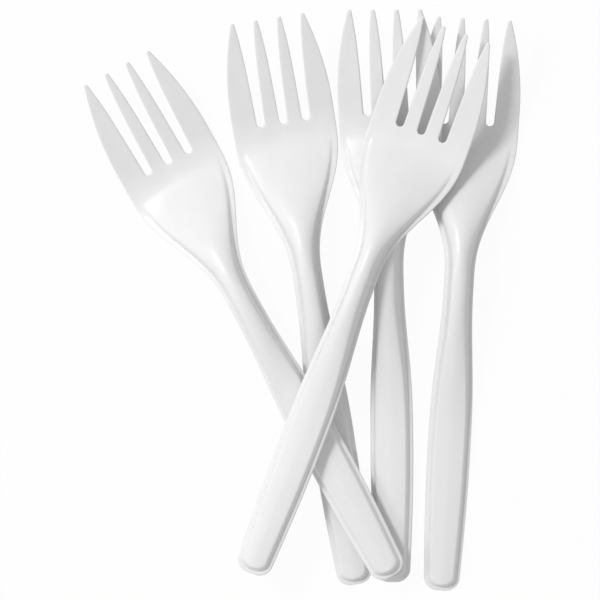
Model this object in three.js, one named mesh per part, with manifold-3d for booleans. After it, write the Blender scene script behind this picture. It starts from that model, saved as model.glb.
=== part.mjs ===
// Five identical disposable forks lying loose in a heap, moulded in white plastic.
// Millimetres, +Z up. The heap stands on z = 0 with its origin under the middle of its box.
// Each fork is one thin shell with a hat section: a raised, hollow-backed web inside a low rim.
import * as THREE from "three";
import { mergeVertices } from "three/addons/utils/BufferGeometryUtils.js";
import Module from "manifold-3d";

// Fork, seen from above: y runs from the end of the handle to the tips of the tines.
// A longer fork has a longer handle, because the head is measured back from the tips.
const FORK_LENGTH = 150;
const HANDLE_END_WIDTH = 9.0;
const HANDLE_END_RADIUS = 3.4;
const HANDLE_WIDTH = 11.2;
const HANDLE_WIDEST_AT = 35;
const NECK_WIDTH = 7.7;
const NECK_TO_TIPS = 68;
const NECK_AT = FORK_LENGTH - NECK_TO_TIPS;
const HEAD_WIDTH = 26.9;
const SHOULDER_LENGTH = 39;
const HEAD_WIDEST_TO_TIPS = 24;
const HEAD_WIDEST_AT = FORK_LENGTH - HEAD_WIDEST_TO_TIPS;
const TIP_SPAN = 19.1;

// Tines: three slots leave four tines, and the slots widen towards the tips.
const SLOT_COUNT = 3;
const TINE_LENGTH = 27.8;
const SLOT_ROOT_AT = FORK_LENGTH - TINE_LENGTH;
const SLOT_ROOT_WIDTH = 2.15;
const SLOT_TIP_WIDTH = 5.2;
const SLOT_ROOT_PITCH = 5.94;
const SLOT_TIP_PITCH = 6.15;
const SLOT_EARLY_FLARE = 0.4;

// Shell, in section.
const WALL = 1.2;
const TIP_WALL = 0.9;
const RIM_WIDTH = 1.0;
const HEAD_RIM_WIDTH = 2.3;
const WALL_RUN = 0.5;
const HANDLE_RISE = 1.7;
const NECK_RISE = 4.1;
const HANDLE_CROWN = 0.4;
const NECK_CROWN = 1.0;

// Fork, seen from the side: heights of the rim's underside above the table.
const HANDLE_FOOT_LENGTH = 9;
const ARCH_HEIGHT = 6.5;
const ARCH_TOP_TO_TIPS = 64;
const ARCH_TOP_AT = FORK_LENGTH - ARCH_TOP_TO_TIPS;
const WEB_TO_TIPS = 33;
const WEB_FADES_AT = FORK_LENGTH - WEB_TO_TIPS;
const BEND_TO_TIPS = 33;
const BEND_STARTS_AT = FORK_LENGTH - BEND_TO_TIPS;
const BEND_LENGTH = 9;
const TIP_RISE = 13.5;

// Heap: where each handle's end lies, and how far its head leans to the left, in degrees.
const REST_CLEARANCE = 0.3;
const HEAP = [
  { name: "fork_right", x: 37.8, y: -76.3, lean: -3.1 },
  { name: "fork_inner_left", x: 15.5, y: -74.7, lean: 8.9 },
  { name: "fork_middle", x: 24.5, y: -74.1, lean: 0.25 },
  { name: "fork_far_left", x: 24.8, y: -71.7, lean: 28.4 },
  { name: "fork_top", x: -12.2, y: -70.3, lean: -21 },
];

const PLASTIC = { color: 0xf4f4f2, roughness: 0.28, metalness: 0 };

// Steps of the mesh, and the least distance between two sections.
const ARC_STEPS = 5;
const SLOT_STEPS = 7;
const SECTION_GAP = 0.2;

// Search for a resting place: cells of the height map, and when a fork counts as settled.
const CELL = 0.25;
const SETTLED_SLOPE = 5e-4;
const SETTLING_ROUNDS = 12;

const wasm = await Module();
wasm.setup();

// 0 up to 0 and 1 from 1 on, level at both ends.
function ease(t) {
  const s = THREE.MathUtils.clamp(t, 0, 1);
  return s * s * s * (s * (6 * s - 15) + 10);
}

function mix(a, b, t) {
  return a + (b - a) * t;
}

// Half the fork's width at y, with the handle's end rounded and the head curving in to the tips.
function halfWidth(y) {
  if (y < HANDLE_END_RADIUS) {
    const back = HANDLE_END_RADIUS - y;
    const inset = HANDLE_END_RADIUS - Math.sqrt(HANDLE_END_RADIUS ** 2 - back ** 2);
    return handleHalfWidth(y) - inset;
  }
  if (y < NECK_AT) {
    return handleHalfWidth(y);
  }
  if (y < HEAD_WIDEST_AT) {
    return mix(NECK_WIDTH, HEAD_WIDTH, ease((y - NECK_AT) / SHOULDER_LENGTH)) / 2;
  }
  const t = (y - HEAD_WIDEST_AT) / HEAD_WIDEST_TO_TIPS;
  return mix(HEAD_WIDTH, TIP_SPAN, t * t) / 2;
}

function handleHalfWidth(y) {
  if (y < HANDLE_WIDEST_AT) {
    const t = y / HANDLE_WIDEST_AT;
    return mix(HANDLE_END_WIDTH, HANDLE_WIDTH, Math.sin((t * Math.PI) / 2)) / 2;
  }
  const t = (y - HANDLE_WIDEST_AT) / (NECK_AT - HANDLE_WIDEST_AT);
  return mix(HANDLE_WIDTH, NECK_WIDTH, ease(t ** 1.2)) / 2;
}

// Height of the rim's underside: a foot, an arched handle, then the tines bending up.
function floorLine(y) {
  const archLength = BEND_STARTS_AT - HANDLE_FOOT_LENGTH;
  const along = THREE.MathUtils.clamp((y - HANDLE_FOOT_LENGTH) / archLength, 0, 1);
  const skew = Math.log(0.5) / Math.log((ARCH_TOP_AT - HANDLE_FOOT_LENGTH) / archLength);
  const arch = ARCH_HEIGHT * Math.sin(Math.PI * along ** skew) ** 2;
  const past = Math.max(0, y - BEND_STARTS_AT);
  const straight = Math.max(0, past - BEND_LENGTH);
  const bent = Math.min(past, BEND_LENGTH);
  const travel = BEND_TO_TIPS - BEND_LENGTH / 2;
  const slope = TIP_RISE / travel;
  return arch + slope * (bent ** 2 / (2 * BEND_LENGTH) + straight);
}

// The wall measured straight up, which is longer where the fork slopes.
function wallHeight(y) {
  const slope = floorLine(y + 0.5) - floorLine(y - 0.5);
  const t = THREE.MathUtils.clamp((y - SLOT_ROOT_AT) / TINE_LENGTH, 0, 1);
  return mix(WALL, TIP_WALL, t) * Math.hypot(1, slope);
}

function rimWidth(y) {
  return mix(RIM_WIDTH, HEAD_RIM_WIDTH, ease((y - NECK_AT) / (WEB_FADES_AT - NECK_AT)));
}

// How far the web stands above the rim at its shoulders and along its middle, for a web that
// starts `start` from the handle's end. Its middle reaches further into the head.
function webHeights(y, start) {
  const begins = THREE.MathUtils.clamp((y - start) / WALL_RUN, 0, 1);
  const swell = ease((y - HANDLE_WIDEST_AT) / (NECK_AT - HANDLE_WIDEST_AT));
  const fade = THREE.MathUtils.clamp((WEB_FADES_AT - y) / (WEB_FADES_AT - NECK_AT), 0, 1);
  const rise = mix(HANDLE_RISE, NECK_RISE, swell);
  const crown = mix(HANDLE_CROWN, NECK_CROWN, swell);
  return { shoulder: begins * rise * fade, middle: begins * (rise + crown) * fade * (2 - fade) };
}

// Half a surface line across the fork at y, from the middle out to the edge.
// `inset` narrows the web on the underside, and `start` is where that web begins.
function surfaceLine(y, height, inset, start) {
  const edge = halfWidth(y);
  const narrowestFoot = 0.3 * edge;
  const foot = Math.max(narrowestFoot, edge - rimWidth(y) - inset);
  const narrowestTop = 0.6 * foot;
  const top = Math.max(narrowestTop, foot - WALL_RUN);
  const { shoulder, middle } = webHeights(y, start);
  const crownPoint = (t) => [top * t, height + mix(middle, shoulder, t * t)];
  const chamferDrop = 0.1 * shoulder;
  return [
    crownPoint(0),
    crownPoint(0.55),
    crownPoint(0.9),
    [top, height + shoulder - chamferDrop],
    [foot, height],
    [edge, height],
  ];
}

// The closed ring of points around the shell at y, anticlockwise seen from the handle's end.
function sectionRing(y) {
  const base = floorLine(y);
  const upper = surfaceLine(y, base + wallHeight(y), 0, RIM_WIDTH);
  const lower = surfaceLine(y, base, WALL, RIM_WIDTH + WALL);
  const mirrored = (line) => line.map(([x, z]) => [-x, z]).reverse();
  const top = [...mirrored(upper), ...upper.slice(1)];
  const bottom = [...mirrored(lower), ...lower.slice(1)];
  return [...bottom, ...top.reverse()].map(([x, z]) => new THREE.Vector3(x, y, z));
}

function spaced(from, to, count) {
  return Array.from({ length: count }, (_, i) => from + ((to - from) * (i + 1)) / count);
}

// Places along the fork where a section is taken, closer together where its shape turns.
function stations() {
  const rounding = spaced(0, Math.PI / 2, ARC_STEPS).map((a) => HANDLE_END_RADIUS * (1 - Math.cos(a)));
  const webEnds = [RIM_WIDTH, RIM_WIDTH + WALL_RUN, RIM_WIDTH + WALL, RIM_WIDTH + WALL + WALL_RUN];
  const places = [
    0,
    ...rounding,
    ...webEnds,
    ...spaced(HANDLE_END_RADIUS, HANDLE_FOOT_LENGTH, 2),
    ...spaced(HANDLE_FOOT_LENGTH, NECK_AT, 9),
    ...spaced(NECK_AT, WEB_FADES_AT, 11),
    ...spaced(WEB_FADES_AT, HEAD_WIDEST_AT, 4),
    ...spaced(HEAD_WIDEST_AT, FORK_LENGTH, 6),
  ];
  places.sort((a, b) => a - b);
  return places.filter((y, i) => i === 0 || y - places[i - 1] > SECTION_GAP);
}

// The shell before its slots are cut: sections joined by quads and closed at both ends.
function shellGeometry() {
  const rings = stations().map(sectionRing);
  const size = rings[0].length;
  const positions = rings.flat().flatMap((p) => [p.x, p.y, p.z]);
  const index = [];
  for (let r = 0; r + 1 < rings.length; r += 1) {
    for (let i = 0; i < size; i += 1) {
      const a = r * size + i;
      const b = r * size + ((i + 1) % size);
      index.push(a, a + size, b);
      index.push(b, a + size, b + size);
    }
  }
  const half = size / 2;
  for (const [first, isTipEnd] of [[0, false], [(rings.length - 1) * size, true]]) {
    for (let i = 0; i + 1 < half; i += 1) {
      const low = first + i;
      const high = first + size - 1 - i;
      const corners = [low, high, low + 1, low + 1, high, high - 1];
      index.push(...(isTipEnd ? corners : corners.reverse()));
    }
  }
  const geometry = new THREE.BufferGeometry();
  geometry.setAttribute("position", new THREE.Float32BufferAttribute(positions, 3));
  geometry.setIndex(index);
  return geometry;
}

// A slot between two tines: a round bottom, then sides that part towards the tips.
function slotGeometry(place) {
  const overrun = 2;
  const radius = SLOT_ROOT_WIDTH / 2;
  const flareFrom = SLOT_ROOT_AT + radius;
  const sides = spaced(0, 1, SLOT_STEPS).map((t) => {
    const flare = mix(t ** 4, t, SLOT_EARLY_FLARE);
    return {
      y: mix(flareFrom, FORK_LENGTH, t),
      x: place * mix(SLOT_ROOT_PITCH, SLOT_TIP_PITCH, t),
      half: mix(SLOT_ROOT_WIDTH, SLOT_TIP_WIDTH, flare) / 2,
    };
  });
  const last = sides.at(-1);
  sides.push({ ...last, y: last.y + overrun });
  const middle = place * SLOT_ROOT_PITCH;
  const shape = new THREE.Shape();
  shape.absarc(middle, flareFrom, radius, Math.PI, 2 * Math.PI, false);
  sides.forEach((s) => shape.lineTo(s.x + s.half, s.y));
  sides.reverse().forEach((s) => shape.lineTo(s.x - s.half, s.y));
  const depth = 2 * (TIP_RISE + NECK_RISE + WALL);
  const geometry = new THREE.ExtrudeGeometry(shape, { depth, bevelEnabled: false, curveSegments: ARC_STEPS });
  return geometry.translate(0, 0, -depth / 4);
}

function toSolid(geometry) {
  const bare = geometry.clone();
  bare.deleteAttribute("normal");
  bare.deleteAttribute("uv");
  const merged = mergeVertices(bare, 1e-4);
  return new wasm.Manifold(
    new wasm.Mesh({
      numProp: 3,
      vertProperties: merged.attributes.position.array,
      triVerts: Uint32Array.from(merged.index.array),
    }),
  );
}

function toGeometry(solid) {
  const mesh = solid.getMesh();
  const geometry = new THREE.BufferGeometry();
  geometry.setAttribute("position", new THREE.BufferAttribute(mesh.vertProperties, 3));
  geometry.setIndex(new THREE.BufferAttribute(mesh.triVerts, 1));
  geometry.computeVertexNormals();
  return geometry;
}

function forkGeometry() {
  let solid = toSolid(shellGeometry());
  for (let i = 0; i < SLOT_COUNT; i += 1) {
    solid = solid.subtract(toSolid(slotGeometry(i - (SLOT_COUNT - 1) / 2)));
  }
  return toGeometry(solid);
}

// Centre of mass of a closed mesh.
function centreOfMass(geometry) {
  const points = geometry.attributes.position;
  const corner = [0, 1, 2].map(() => new THREE.Vector3());
  const centre = new THREE.Vector3();
  let total = 0;
  for (let i = 0; i < geometry.index.count; i += 3) {
    corner.forEach((c, k) => c.fromBufferAttribute(points, geometry.index.getX(i + k)));
    const volume = corner[0].dot(corner[1].clone().cross(corner[2])) / 6;
    total += volume;
    corner.forEach((c) => centre.addScaledVector(c, volume / 4));
  }
  return centre.divideScalar(total);
}

// A square map of heights over the table, in cells, for resting one fork on others.
const MAP_REACH = Math.ceil((1.1 * FORK_LENGTH) / CELL);
const MAP_SIZE = 2 * MAP_REACH + 1;
const cellMiddle = (i) => (i - MAP_REACH) * CELL;
const UPRIGHT_AREA = 1e-9;

// Marks each cell that a placed mesh covers with the height that `keep` picks there.
function traceHeights(geometry, placing, empty, keep) {
  const map = new Float32Array(MAP_SIZE * MAP_SIZE).fill(empty);
  const points = geometry.attributes.position;
  const world = Array.from({ length: points.count }, (_, i) =>
    new THREE.Vector3().fromBufferAttribute(points, i).applyMatrix4(placing),
  );
  for (let i = 0; i < geometry.index.count; i += 3) {
    const [a, b, c] = [0, 1, 2].map((k) => world[geometry.index.getX(i + k)]);
    const area = (b.x - a.x) * (c.y - a.y) - (c.x - a.x) * (b.y - a.y);
    if (Math.abs(area) < UPRIGHT_AREA) {
      continue;
    }
    const cell = (v) => v / CELL + MAP_REACH;
    const west = Math.ceil(cell(Math.min(a.x, b.x, c.x)));
    const east = Math.floor(cell(Math.max(a.x, b.x, c.x)));
    const south = Math.ceil(cell(Math.min(a.y, b.y, c.y)));
    const north = Math.floor(cell(Math.max(a.y, b.y, c.y)));
    for (let row = south; row <= north; row += 1) {
      for (let column = west; column <= east; column += 1) {
        const x = cellMiddle(column);
        const y = cellMiddle(row);
        const u = ((x - a.x) * (c.y - a.y) - (c.x - a.x) * (y - a.y)) / area;
        const v = ((b.x - a.x) * (y - a.y) - (x - a.x) * (b.y - a.y)) / area;
        if (u >= 0 && v >= 0 && u + v <= 1) {
          const at = row * MAP_SIZE + column;
          map[at] = keep(map[at], a.z + u * (b.z - a.z) + v * (c.z - a.z));
        }
      }
    }
  }
  return map;
}

// The heights by which the heap stands over a fork's underside, placed around its centre of mass.
function reliefUnder(geometry, placing, centre, heapTop) {
  const underside = traceHeights(geometry, placing, Infinity, Math.min);
  const points = [];
  for (let at = 0; at < underside.length; at += 1) {
    if (underside[at] < Infinity) {
      const row = Math.floor(at / MAP_SIZE);
      points.push({
        x: cellMiddle(at - row * MAP_SIZE) - centre.x,
        y: cellMiddle(row) - centre.y,
        z: heapTop[at] - underside[at],
      });
    }
  }
  return points;
}

function planeThrough([a, b, c]) {
  const area = (b.x - a.x) * (c.y - a.y) - (c.x - a.x) * (b.y - a.y);
  const east = ((b.z - a.z) * (c.y - a.y) - (c.z - a.z) * (b.y - a.y)) / area;
  const north = ((b.x - a.x) * (c.z - a.z) - (c.x - a.x) * (b.z - a.z)) / area;
  return { east, north, height: a.z - east * a.x - north * a.y };
}

function surroundsCentre([a, b, c]) {
  const sides = [[a, b], [b, c], [c, a]].map(([p, q]) => Math.sign(p.x * q.y - q.x * p.y));
  return sides.every((s) => s >= 0) || sides.every((s) => s <= 0);
}

// The plane of least height at the centre that stays above every point. It touches three of
// them with the centre between them, as a thing at rest does. It starts from three far feet.
function restingPlane(points) {
  const far = 100 * FORK_LENGTH;
  const nearEnough = 1e-6;
  const swapsAtMost = 200;
  let feet = [0, 1, 2].map((k) => {
    const turn = (k * 2 * Math.PI) / 3;
    return { x: far * Math.cos(turn), y: far * Math.sin(turn), z: -far };
  });
  let plane = planeThrough(feet);
  for (let swap = 0; swap < swapsAtMost; swap += 1) {
    const above = (p) => p.z - plane.height - plane.east * p.x - plane.north * p.y;
    const worst = points.reduce((w, p) => (above(p) > above(w) ? p : w), points[0]);
    if (above(worst) < nearEnough) {
      break;
    }
    const choices = feet.map((_, k) => feet.map((f, i) => (i === k ? worst : f)));
    feet = choices.find(surroundsCentre);
    plane = planeThrough(feet);
  }
  return plane;
}

function lowestPoint(geometry, placing) {
  const placed = geometry.clone().applyMatrix4(placing);
  placed.computeBoundingBox();
  return placed.boundingBox.min.z;
}

// Lowers a fork onto the table and the forks already laid, and lets it tilt until it rests on
// three points around its centre of mass. Its place and lean seen from above stay as given.
function layDown(geometry, spot, heapTop) {
  const placing = new THREE.Matrix4().makeRotationZ(THREE.MathUtils.degToRad(spot.lean));
  placing.setPosition(spot.x, spot.y, 0);
  const centre = centreOfMass(geometry).applyMatrix4(placing);
  for (let round = 0; round < SETTLING_ROUNDS; round += 1) {
    const plane = restingPlane(reliefUnder(geometry, placing, centre, heapTop));
    const slope = Math.hypot(plane.east, plane.north);
    if (slope < SETTLED_SLOPE) {
      break;
    }
    const hinge = new THREE.Vector3(plane.north, -plane.east, 0).normalize();
    const move = new THREE.Matrix4().makeTranslation(centre.x, centre.y, centre.z + plane.height);
    move.multiply(new THREE.Matrix4().makeRotationAxis(hinge, Math.atan(slope)));
    move.multiply(new THREE.Matrix4().makeTranslation(-centre.x, -centre.y, -centre.z));
    placing.premultiply(move);
    centre.z += plane.height;
  }
  const relief = reliefUnder(geometry, placing, centre, heapTop);
  const lift = relief.reduce((most, p) => Math.max(most, p.z), -lowestPoint(geometry, placing));
  return placing.premultiply(new THREE.Matrix4().makeTranslation(0, 0, lift));
}

// The heap's top once a fork is laid on it: one cell wider all round, and the clearance higher.
function coverHeap(heapTop, geometry, placing) {
  const top = traceHeights(geometry, placing, -Infinity, Math.max);
  for (let at = MAP_SIZE + 1; at < top.length - MAP_SIZE - 1; at += 1) {
    for (const row of [-MAP_SIZE, 0, MAP_SIZE]) {
      for (const column of [-1, 0, 1]) {
        heapTop[at] = Math.max(heapTop[at], top[at + row + column] + REST_CLEARANCE);
      }
    }
  }
}

function forkMesh(name, geometry, placing) {
  const mesh = new THREE.Mesh(geometry, new THREE.MeshStandardMaterial(PLASTIC));
  mesh.name = name;
  mesh.applyMatrix4(placing);
  return mesh;
}

const group = new THREE.Group();
const fork = forkGeometry();
const heapTop = new Float32Array(MAP_SIZE * MAP_SIZE);
for (const spot of HEAP) {
  const placing = layDown(fork, spot, heapTop);
  coverHeap(heapTop, fork, placing);
  group.add(forkMesh(spot.name, fork.clone(), placing));
}

// The origin goes under the middle of the heap's box.
group.updateMatrixWorld(true);
const box = new THREE.Box3().setFromObject(group, true);
group.position.set(-(box.min.x + box.max.x) / 2, -(box.min.y + box.max.y) / 2, -box.min.z);

export default group;
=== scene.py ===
"""Five white disposable forks in a loose heap, seen from above, with the light from the upper left."""

import math

import bpy
import numpy as np
from mathutils import Matrix, Vector, kdtree
from mathutils.geometry import delaunay_2d_cdt


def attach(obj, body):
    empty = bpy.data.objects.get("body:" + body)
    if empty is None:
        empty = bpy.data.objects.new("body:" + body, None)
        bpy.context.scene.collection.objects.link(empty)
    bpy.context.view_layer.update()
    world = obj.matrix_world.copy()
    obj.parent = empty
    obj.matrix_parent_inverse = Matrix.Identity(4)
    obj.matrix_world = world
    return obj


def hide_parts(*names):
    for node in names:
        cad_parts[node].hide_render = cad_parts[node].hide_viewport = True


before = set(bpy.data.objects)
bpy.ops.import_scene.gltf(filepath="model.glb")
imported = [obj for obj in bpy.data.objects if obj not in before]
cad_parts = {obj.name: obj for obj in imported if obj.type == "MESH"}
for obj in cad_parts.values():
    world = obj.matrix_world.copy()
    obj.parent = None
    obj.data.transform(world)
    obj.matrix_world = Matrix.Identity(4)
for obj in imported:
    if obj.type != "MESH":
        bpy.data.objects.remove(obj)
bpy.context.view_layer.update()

MM = 0.001

# All sizes of the fork are in millimetres: y runs from the end of the handle to the tips of the tines.

# The fork's plan.
FORK_LENGTH = 150.0
HANDLE_END_WIDTH = 9.0
HANDLE_END_RADIUS = 3.4
HANDLE_WIDTH = 11.2
HANDLE_WIDEST_AT = 35.0
HANDLE_TAPER_POWER = 1.2
NECK_WIDTH = 7.7
NECK_AT = 82.0
HEAD_WIDTH = 26.9
SHOULDER_LENGTH = 39.0
HEAD_WIDEST_AT = 126.0
TIP_SPAN = 19.1
TIP_ROUNDING = 0.5

# Slots between the tines.
SLOT_PLACES = (1, 0, -1)
SLOT_ROOT_AT = 122.2
SLOT_ROOT_WIDTH = 2.15
SLOT_TIP_WIDTH = 5.2
SLOT_ROOT_PITCH = 5.94
SLOT_TIP_PITCH = 6.15
SLOT_EARLY_FLARE = 0.4
SLOT_LATE_FLARE_POWER = 4

# Shell, in section.
WALL = 1.2
TIP_WALL = 0.9
RIM_WIDTH = 1.0
HEAD_RIM_WIDTH = 1.6
WALL_RUN = 0.5
WEB_END_ROUNDING = 2.4
LEAST_WEB_SHARE = 0.3
LEAST_PLATEAU_SHARE = 0.6
HANDLE_RISE = 1.7
NECK_RISE = 4.1
HANDLE_CROWN = 0.4
NECK_CROWN = 1.0
HANDLE_CROWN_POWER = 1.4
NECK_CROWN_POWER = 2.0
HANDLE_SHOULDER_ROUNDING = 0.55
NECK_SHOULDER_ROUNDING = 0.9
FOOT_ROUNDING = 0.35
CREASE_BULGE = 0.9
CREASE_SOFTNESS = 0.06
TOP_EDGE_RADIUS = 0.3
LOWER_EDGE_RADIUS = 0.2

# Side view.
HANDLE_FOOT_LENGTH = 9.0
ARCH_HEIGHT = 6.5
ARCH_TOP_AT = 86.0
WEB_FADES_AT = 117.0
BEND_STARTS_AT = 117.0
BEND_LENGTH = 9.0
TIP_RISE = 13.5

# Spacing of the mesh's points along edges and over the faces.
EDGE_STEP = 0.45
FACE_STEP = 0.8
FACE_ROW_STEP = FACE_STEP * 0.866
FIRST_FACE_ROW = 0.5
WALL_ROW_STEP = 0.5
WALL_ROWS = (-0.25, -0.1, 0.0, 0.1, 0.2, 0.3, 0.42, 0.56, 0.75, 1.05)
WALL_END_POINTS = 14
CREASE_ROW_STEP = 0.6
CREASE_ROWS = (-0.4, 0.0, 0.4)
EDGE_RINGS = 4
CORNER_STEPS = 14
TIP_STEPS = 9
SLOT_ROOT_TURN = 0.35
CLEAR_OF_EDGE = 0.16
CLEAR_OF_ROWS = 0.3
LEAST_APART = 0.09

# How a fork's place in the frame is found.
TIPS_REACH = 1.5
HANDLE_END_REACH = 0.5
MATCHING_ROUNDS = 12
MOST_OFF = 0.05

# The studio. Angles are in degrees, azimuth 0 is +X and 90 is +Y, and lengths are in metres.
LIGHTS = {
    "key": {"azimuth": 145, "elevation": 53, "distance": 1.2, "size": 0.2, "energy": 6.2},
    "side": {"azimuth": 176, "elevation": 42, "distance": 1.2, "size": 0.24, "energy": 1.7},
}
WORLD_LIGHT = 0.485
FLOOR_HALF = 4.0
FLOOR_DROP = 0.00002
FLOOR_SEEN_WHITE = 0.955
CAMERA_ELEVATION = 93.0
CAMERA_DISTANCE = 1.4
CAMERA_TARGET = Vector((-0.000675, 0.000158, 0.0))
CAMERA_LENS = 321.0
CAMERA_SENSOR = 36.0


def ease(t):
    s = np.clip(t, 0.0, 1.0)
    return s * s * s * (s * (6 * s - 15) + 10)


def mix(a, b, t):
    return a + (b - a) * t


def soft_min(a, b, reach):
    """The lesser of two heights, rounded over where they are within `reach` of each other."""
    reach = np.maximum(reach, 1e-6)
    h = np.clip(0.5 + 0.5 * (b - a) / reach, 0.0, 1.0)
    return mix(b, a, h) - reach * h * (1 - h)


def soft_max(a, b, reach):
    """The greater of two heights, rounded in the same way."""
    return -soft_min(-a, -b, reach)


def handle_half_width(y):
    """Half the handle's width, before its end is rounded."""
    rising = mix(HANDLE_END_WIDTH, HANDLE_WIDTH, np.sin(np.clip(y / HANDLE_WIDEST_AT, 0, 1) * np.pi / 2))
    t = np.clip((y - HANDLE_WIDEST_AT) / (NECK_AT - HANDLE_WIDEST_AT), 0, 1)
    falling = mix(HANDLE_WIDTH, NECK_WIDTH, ease(t**HANDLE_TAPER_POWER))
    return np.where(y < HANDLE_WIDEST_AT, rising, falling) / 2


def half_width(y):
    """Half the fork's width in plan, slots left out."""
    y = np.asarray(y, float)
    back = np.clip(HANDLE_END_RADIUS - y, 0, HANDLE_END_RADIUS)
    inset = HANDLE_END_RADIUS - np.sqrt(HANDLE_END_RADIUS**2 - back**2)
    head = mix(NECK_WIDTH, HEAD_WIDTH, ease((y - NECK_AT) / SHOULDER_LENGTH)) / 2
    t = np.clip((y - HEAD_WIDEST_AT) / (FORK_LENGTH - HEAD_WIDEST_AT), 0, 1)
    tines = mix(HEAD_WIDTH, TIP_SPAN, t * t) / 2
    wide = np.where(y < HEAD_WIDEST_AT, head, tines)
    return np.where(y < NECK_AT, handle_half_width(y) - inset, wide)


def floor_line(y):
    """Height of the rim's underside."""
    length = BEND_STARTS_AT - HANDLE_FOOT_LENGTH
    along = np.clip((y - HANDLE_FOOT_LENGTH) / length, 0, 1)
    skew = math.log(0.5) / math.log((ARCH_TOP_AT - HANDLE_FOOT_LENGTH) / length)
    arch = ARCH_HEIGHT * np.sin(np.pi * along**skew) ** 2
    past = np.maximum(0, y - BEND_STARTS_AT)
    straight = np.maximum(0, past - BEND_LENGTH)
    bent = np.minimum(past, BEND_LENGTH)
    slope = TIP_RISE / (FORK_LENGTH - BEND_STARTS_AT - BEND_LENGTH / 2)
    return arch + slope * (bent**2 / (2 * BEND_LENGTH) + straight)


def wall_height(y):
    """The wall's height along Z, which grows where the fork slopes."""
    slope = floor_line(y + 0.5) - floor_line(y - 0.5)
    t = np.clip((y - SLOT_ROOT_AT) / (FORK_LENGTH - SLOT_ROOT_AT), 0, 1)
    return mix(WALL, TIP_WALL, t) * np.hypot(1, slope)


def rim_width(y):
    """How far the web's foot stays inside the edge."""
    return mix(RIM_WIDTH, HEAD_RIM_WIDTH, ease((y - NECK_AT) / (WEB_FADES_AT - NECK_AT)))


def web_foot(y, inset):
    """Half the web's width where it leaves the rim."""
    edge = half_width(y)
    return np.maximum(LEAST_WEB_SHARE * edge, edge - rim_width(y) - inset)


def web_height(x, y, inset):
    """How far the surface stands above the rim; the underside's web is narrower by `inset`."""
    foot = web_foot(y, inset)
    inward = soft_min(foot - np.abs(x), y - RIM_WIDTH - inset, WEB_END_ROUNDING)
    swell = ease((y - HANDLE_WIDEST_AT) / (NECK_AT - HANDLE_WIDEST_AT))
    bulge = CREASE_BULGE * (1 - np.clip(x / foot, -1, 1) ** 2)
    left = (WEB_FADES_AT + bulge - y) / (WEB_FADES_AT - NECK_AT)
    fade = np.clip(soft_max(left, np.zeros_like(left), CREASE_SOFTNESS), 0, 1)
    rise = mix(HANDLE_RISE, NECK_RISE, swell)
    shoulder = rise * fade
    middle = (rise + mix(HANDLE_CROWN, NECK_CROWN, swell)) * fade * (2 - fade)
    top = np.maximum(LEAST_PLATEAU_SHARE * foot, foot - WALL_RUN)
    power = mix(HANDLE_CROWN_POWER, NECK_CROWN_POWER, swell)
    plateau = mix(middle, shoulder, np.abs(x / top) ** power)
    rounding = mix(HANDLE_SHOULDER_ROUNDING, NECK_SHOULDER_ROUNDING, swell)
    web = soft_min(inward * shoulder / WALL_RUN, plateau, rounding * shoulder)
    return soft_max(web, np.zeros_like(web), FOOT_ROUNDING * shoulder)


def upper(x, y):
    """Height of the upper surface."""
    return floor_line(y) + wall_height(y) + web_height(x, y, 0.0)


def lower(x, y):
    """Height of the hollow underside."""
    return floor_line(y) + web_height(x, y, WALL)


def steps(start, stop, step):
    """Places from start up to but not including stop, about `step` apart."""
    count = max(1, round(abs(stop - start) / step))
    return start + (stop - start) * np.arange(count) / count


def slot_side(y, place, side):
    """One side of a slot: side is +1 for its right and -1 for its left."""
    from_y = SLOT_ROOT_AT + SLOT_ROOT_WIDTH / 2
    t = (y - from_y) / (FORK_LENGTH - from_y)
    flare = mix(t**SLOT_LATE_FLARE_POWER, t, SLOT_EARLY_FLARE)
    half = mix(SLOT_ROOT_WIDTH, SLOT_TIP_WIDTH, flare) / 2
    return place * mix(SLOT_ROOT_PITCH, SLOT_TIP_PITCH, t) + side * half


def fork_outline():
    """The fork's outline in plan, anticlockwise from the left end of the handle's end."""
    tip_from = FORK_LENGTH - TIP_ROUNDING
    slot_from = SLOT_ROOT_AT + SLOT_ROOT_WIDTH / 2
    flat = HANDLE_END_WIDTH / 2 - HANDLE_END_RADIUS
    corner = np.linspace(0, np.pi / 2, CORNER_STEPS + 1)[:-1]
    corner_y = HANDLE_END_RADIUS * (1 - np.cos(corner))
    side_y = np.concatenate([corner_y, steps(HANDLE_END_RADIUS, tip_from, EDGE_STEP)])
    points = [(x, 0.0) for x in steps(-flat, flat, EDGE_STEP)]
    points += list(zip(half_width(side_y), side_y))
    bounds_x = [float(half_width(tip_from))]
    for place in SLOT_PLACES:
        bounds_x += [slot_side(tip_from, place, 1), slot_side(tip_from, place, -1)]
    bounds_x.append(-bounds_x[0])
    for tine in range(len(SLOT_PLACES) + 1):
        right, left = bounds_x[2 * tine], bounds_x[2 * tine + 1]
        middle, half = (right + left) / 2, (right - left) / 2
        for a in np.linspace(0, np.pi, TIP_STEPS + 1)[:-1]:
            points.append((middle + half * math.cos(a), tip_from + TIP_ROUNDING * math.sin(a)))
        if tine < len(SLOT_PLACES):
            place = SLOT_PLACES[tine]
            down = steps(tip_from, slot_from, EDGE_STEP)
            points += list(zip(slot_side(down, place, 1), down))
            radius = SLOT_ROOT_WIDTH / 2
            middle = place * SLOT_ROOT_PITCH
            for a in steps(0, -np.pi, SLOT_ROOT_TURN):
                points.append((middle + radius * math.cos(a), slot_from + radius * math.sin(a)))
            up = steps(slot_from, tip_from, EDGE_STEP)
            points += list(zip(slot_side(up, place, -1), up))
    back = side_y[::-1]
    points.append((-bounds_x[0], tip_from))
    points += list(zip(-half_width(back), back))[:-1]
    return np.array(points)


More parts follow.
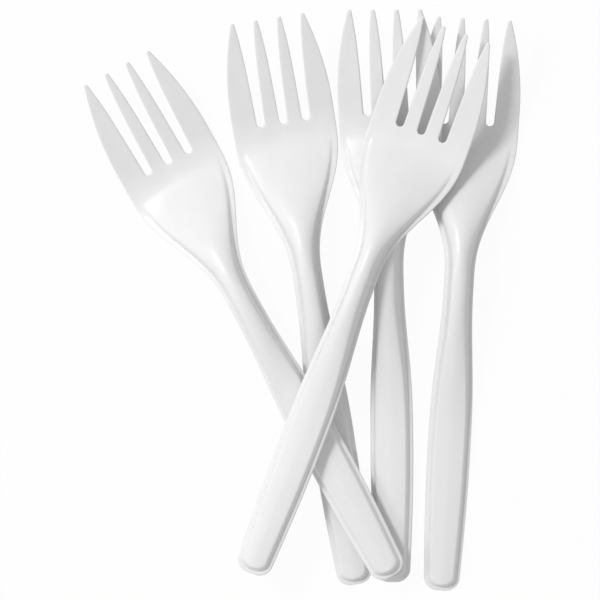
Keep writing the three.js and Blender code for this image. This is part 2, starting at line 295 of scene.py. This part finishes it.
def moved_inwards(outline, distance):
    """The outline with each point moved towards the fork's inside."""
    along = np.roll(outline, -1, axis=0) - np.roll(outline, 1, axis=0)
    along /= np.linalg.norm(along, axis=1)[:, None]
    return outline + distance * np.stack([-along[:, 1], along[:, 0]], axis=1)


def face_points(ring, inset):
    """Points inside a ring: rows along the web's wall, rows across its end, and an even field."""
    rows = []
    for inward in WALL_ROWS:
        y = np.arange(RIM_WIDTH + inset + max(inward, 0.0), WEB_FADES_AT, WALL_ROW_STEP)
        x = web_foot(y, inset) - inward
        rows += [np.stack([x, y], 1), np.stack([-x, y], 1)]
        end = RIM_WIDTH + inset + inward
        reach = float(web_foot(end, inset)) - inward
        across = np.linspace(-reach, reach, WALL_END_POINTS)
        rows.append(np.stack([across, np.full_like(across, end)], 1))
    for crease in CREASE_ROWS:
        across = np.arange(-12, 12.1, CREASE_ROW_STEP)
        rows.append(np.stack([across, np.full_like(across, WEB_FADES_AT + crease)], 1))
    field_y = np.arange(FIRST_FACE_ROW, FORK_LENGTH, FACE_ROW_STEP)
    field_x = np.arange(-14, 14, FACE_STEP)
    for i, y in enumerate(field_y):
        x = field_x + (i % 2) * FACE_STEP / 2
        rows.append(np.stack([x, np.full_like(x, y)], 1))
    return inside_and_apart(np.concatenate(rows), ring)


def are_inside(points, ring):
    """Which points lie within a ring, by counting the ring's edges to their right."""
    x, y = points[:, 0], points[:, 1]
    inside = np.zeros(len(points), bool)
    for (ax, ay), (bx, by) in zip(ring, np.roll(ring, -1, axis=0)):
        if ay != by:
            crossing = (bx - ax) * (y - ay) / (by - ay) + ax
            inside ^= ((ay > y) != (by > y)) & (x < crossing)
    return inside


def tree_of(points):
    """A search tree of points in space."""
    tree = kdtree.KDTree(len(points))
    for i, point in enumerate(points):
        tree.insert(point, i)
    tree.balance()
    return tree


def in_space(points):
    """Points of the plan, at height 0."""
    return np.column_stack([points, np.zeros(len(points))])


def inside_and_apart(points, ring):
    """Keeps the points that lie within the ring and not too near it or an earlier point."""
    points = points[are_inside(points, ring)]
    tree = tree_of(in_space(ring))
    kept, cells = [], {}
    for px, py in points:
        if tree.find((px, py, 0))[2] < CLEAR_OF_EDGE:
            continue
        cell = (int(px // LEAST_APART), int(py // LEAST_APART))
        near = [cells.get((cell[0] + i, cell[1] + j)) for i in (-1, 0, 1) for j in (-1, 0, 1)]
        if all(q is None or math.hypot(q[0] - px, q[1] - py) > LEAST_APART for q in near):
            cells[cell] = (px, py)
            kept.append((px, py))
    return thinned(np.array(kept))


def thinned(points):
    """Drops points of the even field that crowd the rows that were laid before them."""
    tree = tree_of(in_space(points))
    kept = []
    for i, (px, py) in enumerate(points):
        earlier = [j for _, j, d in tree.find_range((px, py, 0), CLEAR_OF_ROWS) if j < i]
        is_field = abs((py - FIRST_FACE_ROW) / FACE_ROW_STEP % 1) < 1e-6
        if not (is_field and earlier):
            kept.append((px, py))
    return np.array(kept)


def filled(ring, inset, height, first, ring_start, turned):
    """Triangles that fill a ring, as new points and faces that use the ring's own indices."""
    extra = face_points(ring, inset)
    plan = [Vector(p) for p in np.concatenate([ring, extra])]
    count = len(ring)
    made = delaunay_2d_cdt(plan, [(i, (i + 1) % count) for i in range(count)], [], 0, 1e-5, True)
    places, faces, sources = made[0], made[2], made[3]
    middles = np.array([sum((places[i] for i in face), Vector((0, 0))) / 3 for face in faces])
    faces = [face for face, kept in zip(faces, are_inside(middles, ring)) if kept]
    index = {}
    points = []
    for i, source in enumerate(sources):
        if source and min(source) < count:
            index[i] = ring_start + min(source)
        else:
            index[i] = first + len(points)
            x, y = places[i]
            points.append((x, y, float(height(np.float64(x), np.float64(y)))))
    triangles = [[index[i] for i in face] for face in faces]
    return points, [t[::-1] if turned else t for t in triangles]


def fork_mesh():
    """Points and faces of one fork, in millimetres, in its own frame."""
    outline = fork_outline()
    count = len(outline)
    points, faces = [], []
    for radius, height, sign in ((LOWER_EDGE_RADIUS, lower, 1), (TOP_EDGE_RADIUS, upper, -1)):
        turns = np.linspace(np.pi / 2, 0, EDGE_RINGS + 1)
        for turn in turns if sign > 0 else turns[::-1]:
            ring = moved_inwards(outline, radius * (1 - math.cos(turn)))
            z = height(ring[:, 0], ring[:, 1]) + sign * radius * (1 - math.sin(turn))
            points += list(zip(ring[:, 0], ring[:, 1], z))
    loops = len(points) // count
    for loop in range(loops - 1):
        for i in range(count):
            j = (i + 1) % count
            a, b = loop * count + i, loop * count + j
            faces.append([a, b, b + count, a + count])
    last_ring = (loops - 1) * count
    for ring_start, inset, height, turned in ((0, WALL, lower, True), (last_ring, 0.0, upper, False)):
        ring = np.array(points[ring_start:ring_start + count])[:, :2]
        new, triangles = filled(ring, inset, height, len(points), ring_start, turned)
        points += new
        faces += triangles
    return np.array(points), faces


def landmarks():
    """Points of the rim's edge that the fork has in the frame too."""
    marks = []
    for y in (0.0, HANDLE_FOOT_LENGTH, NECK_AT, WEB_FADES_AT, HEAD_WIDEST_AT, FORK_LENGTH):
        for side in (-1, 1):
            for thickness in (0, wall_height(y)):
                marks.append((side * float(half_width(y)), y, float(floor_line(y) + thickness)))
    return np.array(marks) * MM


def unit(v):
    return v / np.linalg.norm(v)


def axes_of(right, ahead):
    """Axes as columns: ahead, square to it the nearest to right, and up."""
    ahead = unit(ahead)
    right = unit(right - ahead * (right @ ahead))
    return np.stack([right, ahead, np.cross(right, ahead)], axis=1)


def end_sets(corners, along):
    """The corners near the tips and those near the handle's end, if along grows towards the tips."""
    at_tips = corners[along > along.max() - TIPS_REACH * MM]
    at_handle_end = corners[along < along.min() + HANDLE_END_REACH * MM]
    return at_tips, at_handle_end


def best_turn(marks, found):
    """The turn and shift that carry the marks onto the points found for them."""
    a, b = marks.mean(0), found.mean(0)
    u, _, vt = np.linalg.svd((marks - a).T @ (found - b))
    flip = np.diag([1, 1, np.sign(np.linalg.det(vt.T @ u.T))])
    turn = vt.T @ flip @ u.T
    return turn, b - turn @ a


def place_of(node):
    """Where a fork of the frame lies: its turn and shift from the fork's own frame."""
    corners = np.array([v.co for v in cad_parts[node].data.vertices])
    corners = np.unique(np.round(corners, 7), axis=0)
    middle = corners.mean(0)
    axes = np.linalg.eigh(np.cov((corners - middle).T))[1].T[::-1]
    long_axis = axes[0]
    across = min(axes[1:], key=lambda v: abs(v[2]))
    along = (corners - middle) @ long_axis
    ends = end_sets(corners, along)
    if np.ptp(ends[0] @ across) < np.ptp(ends[1] @ across):
        ends = end_sets(corners, -along)
    tips, handle_end = ends[0].mean(0), ends[1].mean(0)
    own_end = np.array([0, 0, WALL / 2]) * MM
    own_tips = np.array([0, FORK_LENGTH, TIP_RISE + TIP_WALL / 2]) * MM
    world = axes_of(across, tips - handle_end)
    if world[2, 2] < 0:
        world = axes_of(-across, tips - handle_end)
    turn = world @ axes_of(np.array([1.0, 0, 0]), own_tips - own_end).T
    shift = handle_end - turn @ own_end
    tree = tree_of(corners)
    marks = landmarks()
    for _ in range(MATCHING_ROUNDS):
        found = np.array([tree.find(p)[0] for p in marks @ turn.T + shift])
        turn, shift = best_turn(marks, found)
    worst = np.abs(marks @ turn.T + shift - found).max()
    if worst > MOST_OFF * MM:
        raise RuntimeError(f"{node} lies {worst / MM:.3f} mm off its place in the frame")
    return turn, shift


def nodes_of(owner):
    """An emptied node tree of a material or a world, with its nodes and links."""
    owner.use_nodes = True
    tree = owner.node_tree
    tree.nodes.clear()
    return tree, tree.nodes, tree.links


def plastic():
    """Glossy white moulded plastic: faint flow marks along the fork and a fine uneven gloss."""
    material = bpy.data.materials.new("white_plastic")
    tree, nodes, links = nodes_of(material)
    out = nodes.new("ShaderNodeOutputMaterial")
    shader = nodes.new("ShaderNodeBsdfPrincipled")
    links.new(shader.outputs["BSDF"], out.inputs["Surface"])
    place = nodes.new("ShaderNodeAttribute")
    place.attribute_name = "own_place"
    stretch = nodes.new("ShaderNodeMapping")
    stretch.inputs["Scale"].default_value = (1.0, 0.18, 1.0)
    links.new(place.outputs["Vector"], stretch.inputs["Vector"])

    flow = nodes.new("ShaderNodeTexNoise")
    flow.inputs["Scale"].default_value = 0.22
    flow.inputs["Detail"].default_value = 3.0
    flow.inputs["Roughness"].default_value = 0.5
    links.new(stretch.outputs["Vector"], flow.inputs["Vector"])
    tint = nodes.new("ShaderNodeValToRGB")
    tint.color_ramp.elements[0].position = 0.3
    tint.color_ramp.elements[0].color = (0.866, 0.866, 0.87, 1)
    tint.color_ramp.elements[1].position = 0.7
    tint.color_ramp.elements[1].color = (0.89, 0.89, 0.894, 1)
    links.new(flow.outputs["Fac"], tint.inputs["Fac"])
    links.new(tint.outputs["Color"], shader.inputs["Base Color"])

    haze = nodes.new("ShaderNodeTexNoise")
    haze.inputs["Scale"].default_value = 1.1
    haze.inputs["Detail"].default_value = 4.0
    links.new(place.outputs["Vector"], haze.inputs["Vector"])
    gloss = nodes.new("ShaderNodeMapRange")
    gloss.inputs["To Min"].default_value = 0.24
    gloss.inputs["To Max"].default_value = 0.36
    links.new(haze.outputs["Fac"], gloss.inputs["Value"])
    links.new(gloss.outputs["Result"], shader.inputs["Roughness"])

    ripple = nodes.new("ShaderNodeBump")
    ripple.inputs["Strength"].default_value = 0.08
    ripple.inputs["Distance"].default_value = 0.00004
    links.new(haze.outputs["Fac"], ripple.inputs["Height"])
    links.new(ripple.outputs["Normal"], shader.inputs["Normal"])
    shader.inputs["IOR"].default_value = 1.49
    shader.inputs["Specular IOR Level"].default_value = 0.3
    shader.inputs["Subsurface Weight"].default_value = 0.12
    shader.inputs["Subsurface Radius"].default_value = (1.0, 0.97, 0.92)
    shader.inputs["Subsurface Scale"].default_value = 0.0009
    return material


def build_forks():
    """One fork for each node of the frame, laid where that node lies."""
    own, faces = fork_mesh()
    material = plastic()
    for node in sorted(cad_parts):
        turn, shift = place_of(node)
        mesh = bpy.data.meshes.new(f"{node}_moulding")
        mesh.from_pydata((own * MM) @ turn.T + shift, [], faces)
        place = mesh.attributes.new("own_place", "FLOAT_VECTOR", "POINT")
        place.data.foreach_set("vector", own.astype(np.float32).ravel())
        mesh.materials.append(material)
        mesh.shade_smooth()
        fork = bpy.data.objects.new(f"{node}_moulding", mesh)
        bpy.context.scene.collection.objects.link(fork)
        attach(fork, "root")
        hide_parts(node)


def white_surface(nodes, kind, strength):
    """A white background or emission node of a given strength."""
    node = nodes.new(kind)
    node.inputs["Color"].default_value = (1, 1, 1, 1)
    node.inputs["Strength"].default_value = strength
    return node


def build_floor():
    """A white floor that the camera sees almost as pure white, with the heap's faint shadow."""
    signs = ((-1, -1), (1, -1), (1, 1), (-1, 1))
    mesh = bpy.data.meshes.new("floor")
    mesh.from_pydata([(FLOOR_HALF * x, FLOOR_HALF * y, 0) for x, y in signs], [], [(0, 1, 2, 3)])
    floor = bpy.data.objects.new("floor", mesh)
    floor.location.z = -FLOOR_DROP
    bpy.context.scene.collection.objects.link(floor)
    material = bpy.data.materials.new("floor_white")
    tree, nodes, links = nodes_of(material)
    out = nodes.new("ShaderNodeOutputMaterial")
    matt = nodes.new("ShaderNodeBsdfDiffuse")
    matt.inputs["Color"].default_value = (0.86, 0.86, 0.86, 1)
    bright = white_surface(nodes, "ShaderNodeEmission", 1.0)
    seen = nodes.new("ShaderNodeLightPath")
    share = nodes.new("ShaderNodeMath")
    share.operation = "MULTIPLY"
    share.inputs[1].default_value = FLOOR_SEEN_WHITE
    links.new(seen.outputs["Is Camera Ray"], share.inputs[0])
    blend = nodes.new("ShaderNodeMixShader")
    links.new(share.outputs["Value"], blend.inputs["Fac"])
    links.new(matt.outputs["BSDF"], blend.inputs[1])
    links.new(bright.outputs["Emission"], blend.inputs[2])
    links.new(blend.outputs["Shader"], out.inputs["Surface"])
    mesh.materials.append(material)


def build_world():
    """Even light from all sides, behind which the camera sees white."""
    world = bpy.data.worlds.new("studio")
    bpy.context.scene.world = world
    tree, nodes, links = nodes_of(world)
    out = nodes.new("ShaderNodeOutputWorld")
    soft = white_surface(nodes, "ShaderNodeBackground", WORLD_LIGHT)
    white = white_surface(nodes, "ShaderNodeBackground", 1.0)
    seen = nodes.new("ShaderNodeLightPath")
    blend = nodes.new("ShaderNodeMixShader")
    links.new(seen.outputs["Is Camera Ray"], blend.inputs["Fac"])
    links.new(soft.outputs["Background"], blend.inputs[1])
    links.new(white.outputs["Background"], blend.inputs[2])
    links.new(blend.outputs["Shader"], out.inputs["Surface"])


def build_light(name, azimuth, elevation, distance, size, energy):
    """A square area light that shines on the heap."""
    a, e = math.radians(azimuth), math.radians(elevation)
    away = Vector((math.cos(a) * math.cos(e), math.sin(a) * math.cos(e), math.sin(e)))
    data = bpy.data.lights.new(name, "AREA")
    data.size = size
    data.energy = energy
    light = bpy.data.objects.new(name, data)
    light.location = away * distance
    light.rotation_mode = "QUATERNION"
    light.rotation_quaternion = away.to_track_quat("Z", "Y")
    bpy.context.scene.collection.objects.link(light)


def build_camera():
    """Looks straight down from far off; the figures are fitted to the photograph."""
    elevation = math.radians(CAMERA_ELEVATION)
    right = Vector((1, 0, 0))
    look = Vector((0, math.cos(elevation), -math.sin(elevation)))
    up = right.cross(look)
    data = bpy.data.cameras.new("camera")
    data.sensor_width = CAMERA_SENSOR
    data.lens = CAMERA_LENS
    data.clip_start, data.clip_end = 0.05, 20.0
    camera = bpy.data.objects.new("camera", data)
    camera.location = CAMERA_TARGET - look * CAMERA_DISTANCE
    camera.rotation_mode = "QUATERNION"
    camera.rotation_quaternion = Matrix((right, up, -look)).transposed().to_quaternion()
    bpy.context.scene.collection.objects.link(camera)
    bpy.context.scene.camera = camera


build_camera()
build_forks()
build_floor()
build_world()
for name, figures in LIGHTS.items():
    build_light(name, **figures)

bpy.context.scene.view_settings.view_transform = "Standard"
